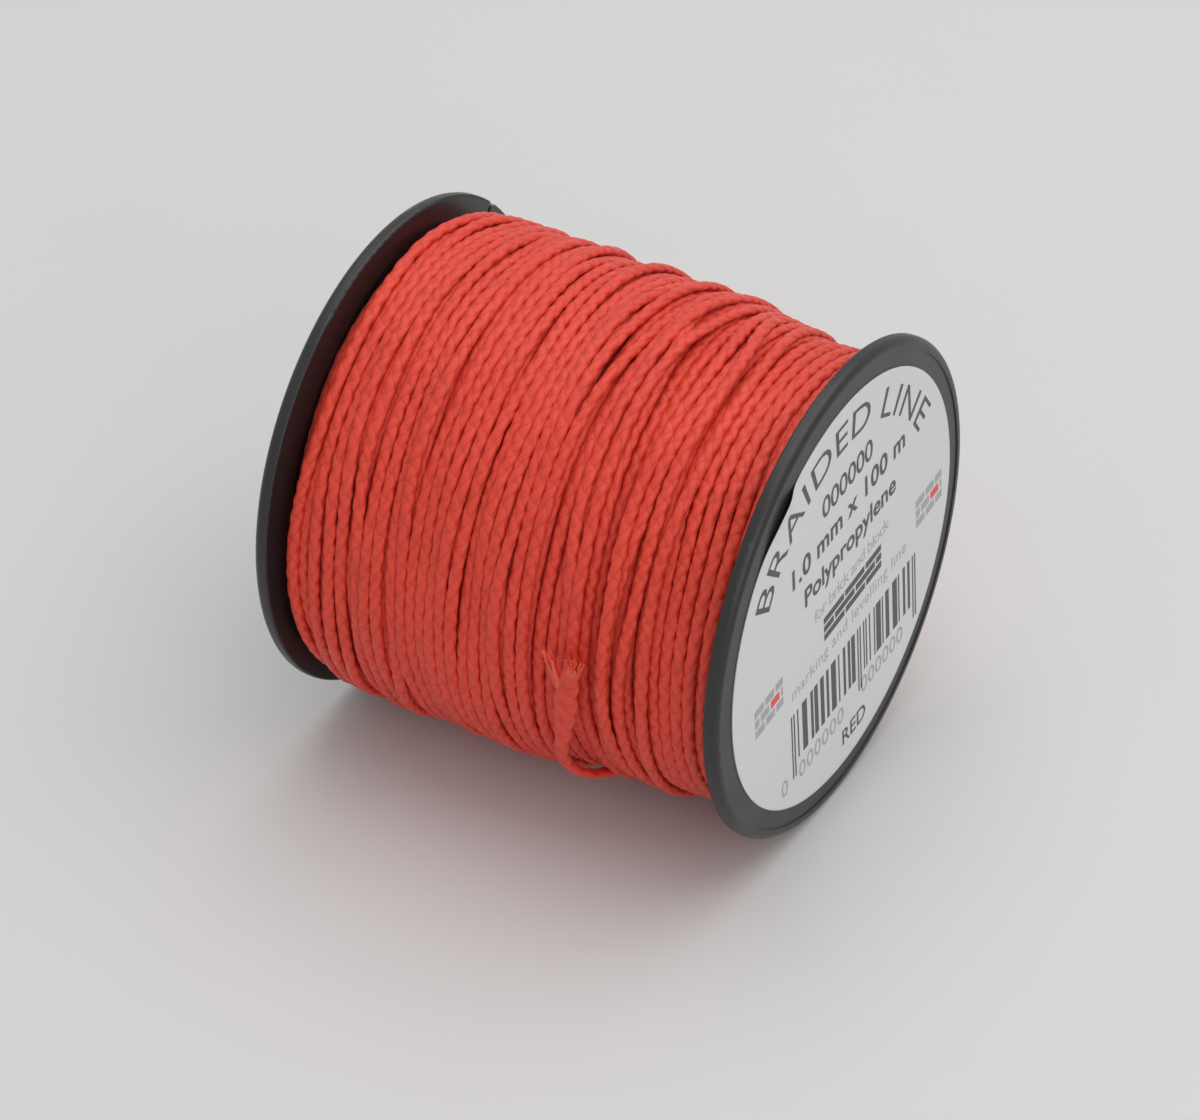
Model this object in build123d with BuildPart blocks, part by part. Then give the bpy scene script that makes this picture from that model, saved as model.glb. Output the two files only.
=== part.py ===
from build123d import *
import math
import os

# Spool of braided mason's line, lying on its two rims as it is stored and used.
# Frame: X runs along the spool's axis towards the labelled end, Z is up.
# The origin is on the surface that the rims rest on, under the middle of the spool.
# All sizes are in millimetres.

# Spool
flange_diameter = 56.5
spool_length = 56.8           # over both outer faces
rim_thickness = 1.7           # of each flange at its rim
rim_outer_round = 0.9         # round between the rim and the outer face
rim_inner_round = 0.3         # round between the rim and the side that holds the line
face_ring_width = 3.1         # flat ring and round of an outer face, outside its recess

# Rear end
rear_recess_depth = 0.5
rear_boss_diameter = 19.0     # flat boss round the spindle hole
thread_slit_width = 0.5
thread_slit_depth = 4.5
thread_slit_angle = 43.8      # from the top of the rim towards +Y
slit_lead_in_length = 1.8     # bevel that guides the line into the slit
slit_lead_in_depth = 0.45

# Front end and its label
rim_bead_width = 1.3          # raised bead round the outer face, its round included
rim_bead_height = 0.15
rim_bead_inner_round = 0.1
label_diameter = 49.7
label_thickness = 0.15

# Core
barrel_wall = 1.6
spindle_bore_diameter = 12.0
spigot_wall = 1.4
spigot_length = 8.0           # each flange's spigot reaches this far into the barrel
seat_clearance = 0.05         # radial, between a spigot and the barrel
barrel_chamfer = 0.4

# Line as wound: the outer shape of all its layers, given below the rim of the flanges
line_width = 1.3
rear_gap = 1.0                # between the rear flange and the first turns
front_gap = 0.2
rear_below_rim = 1.15
crown_below_rim = 0.75
shoulder_below_rim = 2.05
front_below_rim = 2.9
crown_share = 0.37            # place of the crown along the winding, from the rear
shoulder_share = 0.69
winding_corner_round = 0.6

# Free end of the line: from where it leaves the turns underneath, round a small loop in
# front of the winding and up over it to the cut end.
tail_route = [
    (14.8, -10.94, 3.68),
    (14.2, -15.07, 5.91),
    (13.2, -18.48, 8.43),
    (11.9, -21.37, 10.63),
    (10.5, -23.78, 12.81),
    (9.55, -25.24, 15.67),
    (9.35, -26.24, 19.22),
    (9.5, -26.85, 23.03),
    (9.75, -27.16, 26.83),
    (10.0, -27.1, 30.62),
]
arc_share = 0.45              # of the shorter run, taken by each arc of the route

# Sizes that follow
flange_radius = flange_diameter / 2
axis_height = flange_radius
half_length = spool_length / 2
inner_width = spool_length - 2 * rim_thickness
recess_radius = flange_radius - face_ring_width
label_radius = label_diameter / 2
spindle_radius = spindle_bore_diameter / 2
spigot_radius = spindle_radius + spigot_wall
barrel_bore_radius = spigot_radius + seat_clearance
barrel_radius = barrel_bore_radius + barrel_wall
overshoot = 1.0               # how far a cut runs past the face that it opens

# Both face planes look inwards, so an offset or an extrusion goes into the spool.
rear_face = Plane(origin=(-half_length, 0, axis_height), x_dir=(0, 1, 0), z_dir=(1, 0, 0))
front_face = Plane(origin=(half_length, 0, axis_height), x_dir=(0, -1, 0), z_dir=(-1, 0, 0))
spool_axis = Axis((0, 0, axis_height), (1, 0, 0))

os.makedirs("parts", exist_ok=True)


def add_flange_body(outer_face):
    """Disc with rounded rim, and the hollow spigot that plugs into the barrel."""
    with BuildSketch(outer_face) as disc:
        Circle(flange_radius)
    extrude(disc.sketch, amount=rim_thickness)
    inwards = Axis(outer_face.origin, outer_face.z_dir)
    rims = edges().filter_by(GeomType.CIRCLE).sort_by(inwards)
    fillet(rims[0], radius=rim_outer_round)
    rims = edges().filter_by(GeomType.CIRCLE).sort_by(inwards)
    fillet(rims[-1], radius=rim_inner_round)
    with BuildSketch(outer_face.offset(rim_thickness)) as spigot:
        Circle(spigot_radius)
    extrude(spigot.sketch, amount=spigot_length)
    with BuildSketch(outer_face) as bore:
        Circle(spindle_radius)
    extrude(bore.sketch, amount=rim_thickness + spigot_length, mode=Mode.SUBTRACT)


# Rear flange: recessed outer face with a boss, and the slit that holds the line's end
slit_radians = math.radians(thread_slit_angle)
slit_plane = Plane(
    origin=rear_face.origin,
    x_dir=(0, math.cos(slit_radians), -math.sin(slit_radians)),
    z_dir=rear_face.z_dir,
)
with BuildPart() as rear_flange:
    add_flange_body(rear_face)
    with BuildSketch(rear_face):
        Circle(recess_radius)
        Circle(rear_boss_diameter / 2, mode=Mode.SUBTRACT)
    extrude(amount=rear_recess_depth, mode=Mode.SUBTRACT)
    with BuildSketch(slit_plane):
        slit_reach = thread_slit_depth + overshoot
        with Locations((0, flange_radius - thread_slit_depth + slit_reach / 2)):
            Rectangle(thread_slit_width, slit_reach)
        with BuildLine():
            Polyline(
                (0, flange_radius - slit_lead_in_depth - thread_slit_width),
                (thread_slit_width / 2, flange_radius - slit_lead_in_depth),
                (slit_lead_in_length, flange_radius),
                (slit_lead_in_length, flange_radius + overshoot),
                (0, flange_radius + overshoot),
                close=True,
            )
        make_face()
    extrude(amount=rim_thickness, mode=Mode.SUBTRACT)
rear_flange.part.label = "rear_flange"

# Front flange: a low bead round its rim, which also protects the label's edge
bead_inner_radius = flange_radius - rim_bead_width
with BuildPart() as front_flange:
    add_flange_body(front_face)
    with BuildSketch(front_face):
        Circle(bead_inner_radius)
    extrude(amount=rim_bead_height, mode=Mode.SUBTRACT)
    crest_edges = [
        edge
        for edge in front_flange.edges().filter_by(GeomType.CIRCLE)
        if abs(edge.radius - bead_inner_radius) < 0.001
        and abs(edge.arc_center.X - half_length) < 0.001
    ]
    fillet(crest_edges, radius=rim_bead_inner_round)
front_flange.part.label = "front_flange"

# Barrel: the tube between the flanges, with a lead-in for each spigot
with BuildPart() as core_barrel:
    with BuildSketch(rear_face.offset(rim_thickness)):
        Circle(barrel_radius)
        Circle(barrel_bore_radius, mode=Mode.SUBTRACT)
    extrude(amount=inner_width)
    mouths = core_barrel.edges().filter_by(GeomType.CIRCLE).group_by(SortBy.RADIUS)[0]
    chamfer(mouths, length=barrel_chamfer)
core_barrel.part.label = "core_barrel"

# Label: a thin round film on the flat face inside the bead
with BuildPart() as end_label:
    with BuildSketch(front_face.offset(rim_bead_height)):
        Circle(label_radius)
    extrude(amount=-label_thickness)
end_label.part.label = "end_label"

# Winding: the solid that all the turns fill, highest a little behind the middle
winding_rear = -half_length + rim_thickness + rear_gap
winding_front = half_length - rim_thickness - front_gap
winding_length = winding_front - winding_rear
section_plane = Plane(origin=(0, 0, axis_height), x_dir=(1, 0, 0), z_dir=(0, -1, 0))
with BuildPart() as line_winding:
    with BuildSketch(section_plane) as winding_section:
        with BuildLine():
            outline = Spline(
                (winding_rear, flange_radius - rear_below_rim),
                (winding_rear + crown_share * winding_length, flange_radius - crown_below_rim),
                (winding_rear + shoulder_share * winding_length, flange_radius - shoulder_below_rim),
                (winding_front, flange_radius - front_below_rim),
            )
            Polyline(
                outline @ 1,
                (winding_front, barrel_radius),
                (winding_rear, barrel_radius),
                outline @ 0,
            )
        make_face()
        outer_corners = winding_section.vertices().group_by(Axis.Z)[1:]
        fillet([corner for group in outer_corners for corner in group], radius=winding_corner_round)
    revolve(axis=spool_axis)
line_winding.part.label = "line_winding"

# Tail: straight runs joined by arcs as large as the runs allow
points = [Vector(*point) for point in tail_route]
arc_radii = []
for before, corner, after in zip(points, points[1:], points[2:]):
    turn = math.radians((corner - before).get_angle(after - corner))
    shorter_run = min((corner - before).length, (after - corner).length)
    arc_radii.append(arc_share * shorter_run / math.tan(turn / 2))
print("tail arc radii, mm:", [round(radius, 1) for radius in arc_radii])
with BuildPart() as line_tail:
    with BuildLine():
        tail_line = FilletPolyline(*points, radius=arc_radii)
    with BuildSketch(Plane(origin=tail_line @ 0, z_dir=tail_line % 0)):
        Circle(line_width / 2)
    sweep(path=tail_line)
line_tail.part.label = "line_tail"
full_tail_volume = math.pi * (line_width / 2) ** 2 * tail_line.length
print("tail length, mm:", round(tail_line.length, 2))
print("tail volume, share of its section times length:",
      round(line_tail.part.volume / full_tail_volume, 4))

export_step(rear_flange.part, "parts/rear_flange.step")
export_step(front_flange.part, "parts/front_flange.step")
export_step(core_barrel.part, "parts/core_barrel.step")
export_step(end_label.part, "parts/end_label.step")
export_step(line_winding.part, "parts/line_winding.step")
export_step(line_tail.part, "parts/line_tail.step")
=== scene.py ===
import math

import bpy
import numpy as np
from bpy.props import FloatProperty, FloatVectorProperty, IntProperty, PointerProperty
from bpy.types import Operator, Panel, PropertyGroup
from mathutils import Matrix, Vector


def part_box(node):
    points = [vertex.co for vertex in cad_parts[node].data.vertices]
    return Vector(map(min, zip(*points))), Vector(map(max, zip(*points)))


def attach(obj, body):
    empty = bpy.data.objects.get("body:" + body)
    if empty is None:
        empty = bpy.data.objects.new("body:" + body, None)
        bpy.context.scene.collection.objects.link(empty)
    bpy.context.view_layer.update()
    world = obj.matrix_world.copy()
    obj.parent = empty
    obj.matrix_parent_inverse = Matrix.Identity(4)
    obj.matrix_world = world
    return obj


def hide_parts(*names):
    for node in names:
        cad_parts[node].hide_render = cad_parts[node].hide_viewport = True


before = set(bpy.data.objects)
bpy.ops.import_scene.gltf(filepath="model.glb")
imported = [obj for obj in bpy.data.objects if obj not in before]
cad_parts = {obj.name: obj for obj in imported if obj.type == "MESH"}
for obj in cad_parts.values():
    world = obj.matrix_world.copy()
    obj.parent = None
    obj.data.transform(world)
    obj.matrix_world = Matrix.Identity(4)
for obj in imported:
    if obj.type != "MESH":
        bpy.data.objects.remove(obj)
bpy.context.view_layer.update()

bl_info = {
    "name": "Mason's Line Spool",
    "version": (1, 0, 0),
    "blender": (4, 5, 0),
    "location": "View3D > Sidebar > Line Spool",
    "description": "Winds, labels and finishes a spool of braided mason's line around its CAD parts",
    "category": "Object",
}

# ---------------------------------------------------------------------------
# Sizes that come from the CAD parts. X runs along the spool's axis.
# ---------------------------------------------------------------------------
REAR_LOW, REAR_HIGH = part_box("rear_flange")
BARREL_LOW, BARREL_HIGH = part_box("core_barrel")
WINDING_LOW, WINDING_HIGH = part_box("line_winding")
LABEL_LOW, LABEL_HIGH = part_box("end_label")
AXIS_HEIGHT = (REAR_LOW[2] + REAR_HIGH[2]) / 2
BARREL_RADIUS = (BARREL_HIGH[2] - BARREL_LOW[2]) / 2
LABEL_RADIUS = (LABEL_HIGH[2] - LABEL_LOW[2]) / 2

# The free end's route, from where it leaves the turns to its tip. It follows the CAD part's tail,
# with its points moved so that it bulges from under the winding.
TAIL_ROUTE = [
    (0.01051, -0.00753, 0.00362),
    (0.01030, -0.00992, 0.00440),
    (0.01022, -0.01282, 0.00645),
    (0.01023, -0.01674, 0.00796),
    (0.00913, -0.02055, 0.00945),
    (0.00798, -0.02339, 0.01213),
    (0.00814, -0.02536, 0.01570),
    (0.00907, -0.02652, 0.01972),
    (0.00980, -0.02721, 0.02386),
    (0.01014, -0.02753, 0.02744),
    (0.01053, -0.02756, 0.02980),
]


# ---------------------------------------------------------------------------
# Settings that a user would change
# ---------------------------------------------------------------------------
class LineSettings(PropertyGroup):
    width: FloatProperty(
        name="Width", description="Width of the line as it lies on the spool",
        default=0.00138, unit="LENGTH")
    pressed_thickness: FloatProperty(
        name="Pressed thickness", description="Thickness of the line in the lower layers",
        default=0.000779, unit="LENGTH")
    top_thickness: FloatProperty(
        name="Top thickness", description="Thickness of the line in the outer layers",
        default=0.00098, unit="LENGTH")
    pitch: FloatProperty(
        name="Pitch", description="Distance between neighbouring turns of one layer",
        default=0.00144, unit="LENGTH")
    full_layers: IntProperty(
        name="Full layers", description="Layers that run from flange to flange", default=24)
    slices: IntProperty(
        name="Slices", description="Places round the spool where each turn is settled", default=180)
    wander: FloatProperty(
        name="Wander", description="How far the outer turns stray from an even pitch",
        default=0.00034, unit="LENGTH")
    braid_pitch: FloatProperty(
        name="Braid pitch", description="Length of one lobe of the braid",
        default=0.0024, unit="LENGTH")
    braid_relief: FloatProperty(
        name="Braid relief", description="Height of the lobes as a share of the line's size",
        default=0.25)
    rear_spread: FloatProperty(
        name="Rear spread", description="How far the turns press past the CAD winding's rear end",
        default=0.0009, unit="LENGTH")
    sag: FloatProperty(
        name="Sag", description="How far the loose outer turns have slipped off centre",
        default=0.00055, unit="LENGTH")
    sag_angle: FloatProperty(
        name="Sag angle", description="Direction of the slip, from the top towards +Y",
        default=math.radians(221.0), subtype="ANGLE")
    seed: IntProperty(name="Seed", description="Seed of the winding's wander", default=7)
    colour: FloatVectorProperty(
        name="Colour", description="Colour of the dyed fibre", subtype="COLOR", size=4,
        default=(0.75, 0.062, 0.034, 1.0))
    # Darker colour for painted shade in the braid's grooves, and for random darker patches of dye.
    groove_shade_and_patch_colour: FloatVectorProperty(
        name="Groove shade and patch colour", description="Colour in the grooves of the braid", subtype="COLOR",
        size=4, default=(0.42, 0.018, 0.009, 1.0))
    cut_colour: FloatVectorProperty(
        name="Cut end colour", description="Colour of the loose fibres at the cut end",
        subtype="COLOR", size=4, default=(0.92, 0.12, 0.06, 1.0))


class PlasticSettings(PropertyGroup):
    colour: FloatVectorProperty(
        name="Colour", description="Colour of the moulded plastic", subtype="COLOR", size=4,
        default=(0.017, 0.0172, 0.0175, 1.0))
    scuff_colour: FloatVectorProperty(
        name="Scuff colour", description="Colour of fine dust and rub marks", subtype="COLOR",
        size=4, default=(0.075, 0.075, 0.073, 1.0))
    roughness: FloatProperty(
        name="Roughness", description="Mean roughness of the moulded skin", default=0.36)


class LabelSettings(PropertyGroup):
    colour: FloatVectorProperty(
        name="Film colour", description="Colour of the label film", subtype="COLOR", size=4,
        default=(0.70, 0.70, 0.685, 1.0))
    ink_colour: FloatVectorProperty(
        name="Ink colour", description="Colour of the main print", subtype="COLOR", size=4,
        default=(0.045, 0.047, 0.052, 1.0))
    pale_ink_colour: FloatVectorProperty(
        name="Pale ink colour", description="Colour of the fine grey print", subtype="COLOR",
        size=4, default=(0.30, 0.31, 0.33, 1.0))
    accent_colour: FloatVectorProperty(
        name="Accent colour", description="Colour of the two small red bricks", subtype="COLOR",
        size=4, default=(0.62, 0.05, 0.05, 1.0))
    turn: FloatProperty(
        name="Turn", description="How far the label is stuck on turned from upright",
        default=math.radians(6.3), subtype="ANGLE")
    spare: FloatProperty(
        name="Spare radius", description="How much the film spreads past the CAD disc when smoothed down",
        default=0.00005, unit="LENGTH")
    offset: FloatProperty(
        name="Offset", description="How far sideways the label is stuck on",
        default=0.00018, unit="LENGTH")
    lift: FloatProperty(
        name="Lifted edge", description="How far the loose edge stands off the flange",
        default=0.00055, unit="LENGTH")
    lift_angle: FloatProperty(
        name="Lift angle", description="Direction of the loose edge, from +Y towards the top",
        default=math.radians(129.0), subtype="ANGLE")


class StageSettings(PropertyGroup):
    azimuth: FloatProperty(
        name="Azimuth", description="Camera direction round the spool", subtype="ANGLE",
        default=math.radians(29.86))
    elevation: FloatProperty(
        name="Elevation", description="Camera direction above the floor", subtype="ANGLE",
        default=math.radians(37.40))
    distance: FloatProperty(
        name="Distance", description="Camera distance from its aim", default=0.5502, unit="LENGTH")
    lens: FloatProperty(
        name="Lens", description="Focal length on a 36 mm wide sensor, in millimetres", default=150.0)
    floor_colour: FloatVectorProperty(
        name="Floor colour", description="Colour of the plain floor", subtype="COLOR", size=4,
        default=(0.635, 0.635, 0.633, 1.0))


# ---------------------------------------------------------------------------
# Shader helpers and shared node groups
# ---------------------------------------------------------------------------
def add_node(tree, kind, **settings):
    """Adds a node and sets the attributes given by name."""
    node = tree.nodes.new(kind)
    for key, value in settings.items():
        setattr(node, key, value)
    return node


def link(tree, source, target):
    """Joins an output socket to an input socket, or sets a plain value on the input."""
    if isinstance(source, bpy.types.NodeSocket):
        tree.links.new(source, target)
    else:
        target.default_value = source


def maths(tree, operation, first, second=None, clamp=False):
    """A Math node's output for one or two values or sockets."""
    node = add_node(tree, "ShaderNodeMath", operation=operation, use_clamp=clamp)
    link(tree, first, node.inputs[0])
    if second is not None:
        link(tree, second, node.inputs[1])
    return node.outputs[0]


def new_group(name, inputs, outputs):
    """An empty shader node group with float or vector sockets, and its two end nodes."""
    group = bpy.data.node_groups.new(name, "ShaderNodeTree")
    for label, kind, default in inputs:
        socket = group.interface.new_socket(name=label, in_out="INPUT", socket_type=kind)
        if default is not None:
            socket.default_value = default
    for label, kind in outputs:
        group.interface.new_socket(name=label, in_out="OUTPUT", socket_type=kind)
    return group, group.nodes.new("NodeGroupInput"), group.nodes.new("NodeGroupOutput")


def braid_pattern_group():
    """Four-strand braid. Two families of two strands run round the line in opposite directions. Each
    strand is a round ridge, raised where it passes over the other family and lowered where it
    passes under, and the height is the larger of the two. The groove follows the lines where the
    two are equally high. Fine fibres run along each strand."""
    name = "Braid pattern"
    if name in bpy.data.node_groups:
        return bpy.data.node_groups[name]
    group, start, end = new_group(
        name,
        [("Along and Round", "NodeSocketVector", None), ("Fibre Depth", "NodeSocketFloat", 0.2)],
        [("Height", "NodeSocketFloat"), ("Groove", "NodeSocketFloat")])
    split = add_node(group, "ShaderNodeSeparateXYZ")
    link(group, start.outputs["Along and Round"], split.inputs[0])
    around = maths(group, "MULTIPLY", split.outputs["Y"], 2.0)
    families = (
        maths(group, "ADD", around, split.outputs["X"]),
        maths(group, "SUBTRACT", around, split.outputs["X"]),
    )
    ridges = []
    for own, other, parity in ((families[0], families[1], 0.0), (families[1], families[0], 1.0)):
        strand = maths(group, "ROUND", own)
        across = maths(group, "SUBTRACT", own, strand)
        ridge = maths(group, "COSINE", maths(group, "MULTIPLY", across, math.pi))
        ridge = maths(group, "POWER", maths(group, "MAXIMUM", ridge, 0.0), 0.8)
        turn = maths(group, "ADD", maths(group, "ADD", other, strand), parity)
        over = maths(group, "COSINE", maths(group, "MULTIPLY", turn, math.pi / 2))
        over = maths(group, "POWER", maths(group, "ABSOLUTE", over), 2.0)
        over = maths(group, "MULTIPLY_ADD", over, 0.65)
        over.node.inputs[2].default_value = 0.35
        place = add_node(group, "ShaderNodeCombineXYZ")
        link(group, maths(group, "MULTIPLY_ADD", across, 11.0), place.inputs[0])
        link(group, maths(group, "MULTIPLY", other, 0.7), place.inputs[1])
        link(group, maths(group, "MULTIPLY", strand, 3.7), place.inputs[2])
        fibres = add_node(group, "ShaderNodeTexNoise", noise_dimensions="3D")
        fibres.inputs["Scale"].default_value = 1.0
        fibres.inputs["Detail"].default_value = 1.0
        link(group, place.outputs[0], fibres.inputs["Vector"])
        fine = maths(group, "MULTIPLY", fibres.outputs["Fac"], start.outputs["Fibre Depth"])
        ridges.append(maths(group, "ADD", maths(group, "MULTIPLY", ridge, over), fine))
    height = maths(group, "MAXIMUM", ridges[0], ridges[1])
    link(group, height, end.inputs["Height"])
    # The groove mask is used to paint shade into the braid's grooves.
    apart = maths(group, "ABSOLUTE", maths(group, "SUBTRACT", ridges[0], ridges[1]))
    edge = add_node(group, "ShaderNodeMapRange", interpolation_type="SMOOTHSTEP")
    link(group, apart, edge.inputs["Value"])
    edge.inputs["From Min"].default_value = 0.50
    edge.inputs["From Max"].default_value = 0.0
    low = add_node(group, "ShaderNodeMapRange", interpolation_type="SMOOTHSTEP")
    link(group, height, low.inputs["Value"])
    low.inputs["From Min"].default_value = 1.0
    low.inputs["From Max"].default_value = 0.5
    groove = maths(group, "MULTIPLY", edge.outputs["Result"], low.outputs["Result"])
    link(group, groove, end.inputs["Groove"])
    return group


def fine_grain_group():
    """Skin of a moulded or coated surface. Coarse cloudiness, fine grain and sparse specks are three
    noises of the point, and hairlines are a noise stretched along one direction."""
    name = "Fine grain"
    if name in bpy.data.node_groups:
        return bpy.data.node_groups[name]
    group, start, end = new_group(
        name,
        [("Point", "NodeSocketVector", None), ("Grain Scale", "NodeSocketFloat", 3000.0),
         ("Speck Share", "NodeSocketFloat", 0.25)],
        [("Cloud", "NodeSocketFloat"), ("Grain", "NodeSocketFloat"), ("Specks", "NodeSocketFloat")])
    cloud = add_node(group, "ShaderNodeTexNoise")
    cloud.inputs["Scale"].default_value = 140.0
    cloud.inputs["Detail"].default_value = 3.0
    grain = add_node(group, "ShaderNodeTexNoise")
    grain.inputs["Detail"].default_value = 2.0
    link(group, start.outputs["Grain Scale"], grain.inputs["Scale"])
    specks = add_node(group, "ShaderNodeTexNoise")
    specks.inputs["Detail"].default_value = 4.0
    specks.inputs["Roughness"].default_value = 0.7
    specks.inputs["Scale"].default_value = 900.0
    stretched = add_node(group, "ShaderNodeMapping")
    stretched.inputs["Scale"].default_value = (2200.0, 60.0, 160.0)
    stretched.inputs["Rotation"].default_value = (0.5, 0.2, 0.4)
    link(group, start.outputs["Point"], stretched.inputs["Vector"])
    hairs = add_node(group, "ShaderNodeTexNoise")
    hairs.inputs["Scale"].default_value = 1.0
    hairs.inputs["Detail"].default_value = 2.0
    link(group, stretched.outputs["Vector"], hairs.inputs["Vector"])
    for texture in (cloud, grain, specks):
        link(group, start.outputs["Point"], texture.inputs["Vector"])
    rare = add_node(group, "ShaderNodeMapRange", interpolation_type="SMOOTHSTEP")
    link(group, specks.outputs["Fac"], rare.inputs["Value"])
    rare.inputs["From Min"].default_value = 0.66
    rare.inputs["From Max"].default_value = 0.80
    lines = add_node(group, "ShaderNodeMapRange", interpolation_type="SMOOTHSTEP")
    link(group, hairs.outputs["Fac"], lines.inputs["Value"])
    lines.inputs["From Min"].default_value = 0.68
    lines.inputs["From Max"].default_value = 0.78
    marks = maths(group, "MAXIMUM", rare.outputs["Result"], lines.outputs["Result"])
    marks = maths(group, "MULTIPLY", marks, start.outputs["Speck Share"])
    link(group, cloud.outputs["Fac"], end.inputs["Cloud"])
    link(group, grain.outputs["Fac"], end.inputs["Grain"])
    link(group, marks, end.inputs["Specks"])
    return group


def new_material(name):
    """A node material with a Principled shader. Returns the material, its tree and the shader."""
    material = bpy.data.materials.new(name)
    material.use_nodes = True
    tree = material.node_tree
    return material, tree, tree.nodes["Principled BSDF"]


def mix_colours(tree, share, first, second):
    """A colour between two colours."""
    node = add_node(tree, "ShaderNodeMix", data_type="RGBA")
    link(tree, share, node.inputs["Factor"])
    link(tree, first, node.inputs[6])
    link(tree, second, node.inputs[7])
    return node.outputs[2]


def bump(tree, height, distance, strength=1.0):
    """A Bump node's normal for a height between 0 and 1."""
    node = add_node(tree, "ShaderNodeBump")
    link(tree, height, node.inputs["Height"])
    node.inputs["Distance"].default_value = distance
    node.inputs["Strength"].default_value = strength
    return node.outputs["Normal"]


def object_point(tree):
    """The shaded point in the object's own coordinates."""
    return add_node(tree, "ShaderNodeTexCoord").outputs["Object"]


def braided_line_material(settings):
    """Dyed polypropylene braid: strands and fibres in relief, with painted shade darkening the grooves
    and the slight gloss of a drawn fibre."""
    material, tree, shader = new_material("Red braided polypropylene")
    place = add_node(tree, "ShaderNodeUVMap", uv_map="Braid")
    braid = add_node(tree, "ShaderNodeGroup", node_tree=braid_pattern_group())
    braid.inputs["Fibre Depth"].default_value = 0.22
    link(tree, place.outputs["UV"], braid.inputs["Along and Round"])
    patches = add_node(tree, "ShaderNodeTexNoise")
    patches.inputs["Scale"].default_value = 220.0
    patches.inputs["Detail"].default_value = 3.0
    link(tree, object_point(tree), patches.inputs["Vector"])
    tone = add_node(tree, "ShaderNodeMapRange")
    link(tree, patches.outputs["Fac"], tone.inputs["Value"])
    tone.inputs["From Min"].default_value = 0.3
    tone.inputs["From Max"].default_value = 0.7
    tone.inputs["To Min"].default_value = 0.0
    tone.inputs["To Max"].default_value = 0.22
    # Painted shade: the grooves between the lobes are mixed towards the darker colour, and random patches
    # add a little more of it.
    share = maths(tree, "MULTIPLY", braid.outputs["Groove"], 0.38)
    share = maths(tree, "ADD", share, tone.outputs["Result"], clamp=True)
    colour = mix_colours(tree, share, tuple(settings.colour), tuple(settings.groove_shade_and_patch_colour))
    link(tree, colour, shader.inputs["Base Color"])
    link(tree, bump(tree, braid.outputs["Height"], 0.0002, 0.5), shader.inputs["Normal"])
    rough = maths(tree, "MULTIPLY_ADD", patches.outputs["Fac"], 0.22)
    rough.node.inputs[2].default_value = 0.36
    link(tree, rough, shader.inputs["Roughness"])
    shader.inputs["Specular IOR Level"].default_value = 0.36
    shader.inputs["Sheen Weight"].default_value = 0.04
    shader.inputs["Sheen Roughness"].default_value = 0.4
    return material


def cut_fibre_material(settings):
    """Loose, half-clear fibres of the cut end, brighter where light comes through them."""
    material, tree, shader = new_material("Cut red fibre")
    streaks = add_node(tree, "ShaderNodeTexNoise")
    streaks.inputs["Scale"].default_value = 2600.0
    streaks.inputs["Detail"].default_value = 2.0
    link(tree, object_point(tree), streaks.inputs["Vector"])
    colour = mix_colours(
        tree, streaks.outputs["Fac"], tuple(settings.cut_colour), tuple(settings.colour))
    link(tree, colour, shader.inputs["Base Color"])
    link(tree, bump(tree, streaks.outputs["Fac"], 0.00005, 0.6), shader.inputs["Normal"])
    shader.inputs["Roughness"].default_value = 0.42
    shader.inputs["Subsurface Weight"].default_value = 0.35
    shader.inputs["Subsurface Radius"].default_value = (0.0012, 0.0002, 0.0001)
    shader.inputs["Subsurface Scale"].default_value = 1.0
    return material


def black_plastic_material(settings):
    """Satin black moulding: faint cloudiness in its gloss, a fine grain, dust and rub marks."""
    material, tree, shader = new_material("Satin black plastic")
    skin = add_node(tree, "ShaderNodeGroup", node_tree=fine_grain_group())
    link(tree, object_point(tree), skin.inputs["Point"])
    skin.inputs["Grain Scale"].default_value = 5200.0
    skin.inputs["Speck Share"].default_value = 0.35
    colour = mix_colours(
        tree, skin.outputs["Specks"], tuple(settings.colour), tuple(settings.scuff_colour))
    link(tree, colour, shader.inputs["Base Color"])
    rough = maths(tree, "MULTIPLY_ADD", skin.outputs["Cloud"], 0.16)
    rough.node.inputs[2].default_value = settings.roughness - 0.08
    rough = maths(tree, "ADD", rough, maths(tree, "MULTIPLY", skin.outputs["Specks"], 0.25))
    link(tree, rough, shader.inputs["Roughness"])
    link(tree, bump(tree, skin.outputs["Grain"], 0.000012, 0.5), shader.inputs["Normal"])
    shader.inputs["Specular IOR Level"].default_value = 0.5
    return material


def label_film_material(settings):
    """White label film with a very slight mottle and a soft gloss."""
    material, tree, shader = new_material("White label film")
    skin = add_node(tree, "ShaderNodeGroup", node_tree=fine_grain_group())
    link(tree, object_point(tree), skin.inputs["Point"])
    skin.inputs["Grain Scale"].default_value = 2600.0
    skin.inputs["Speck Share"].default_value = 0.12
    worn = tuple(0.86 * channel for channel in settings.colour[:3]) + (1.0,)
    share = maths(tree, "MULTIPLY", skin.outputs["Cloud"], 0.25)
    share = maths(tree, "ADD", share, skin.outputs["Specks"], clamp=True)
    colour = mix_colours(tree, share, tuple(settings.colour), worn)
    link(tree, colour, shader.inputs["Base Color"])
    rough = maths(tree, "MULTIPLY_ADD", skin.outputs["Cloud"], 0.15)
    rough.node.inputs[2].default_value = 0.34
    link(tree, rough, shader.inputs["Roughness"])
    link(tree, bump(tree, skin.outputs["Grain"], 0.000008, 0.4), shader.inputs["Normal"])
    return material


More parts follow.
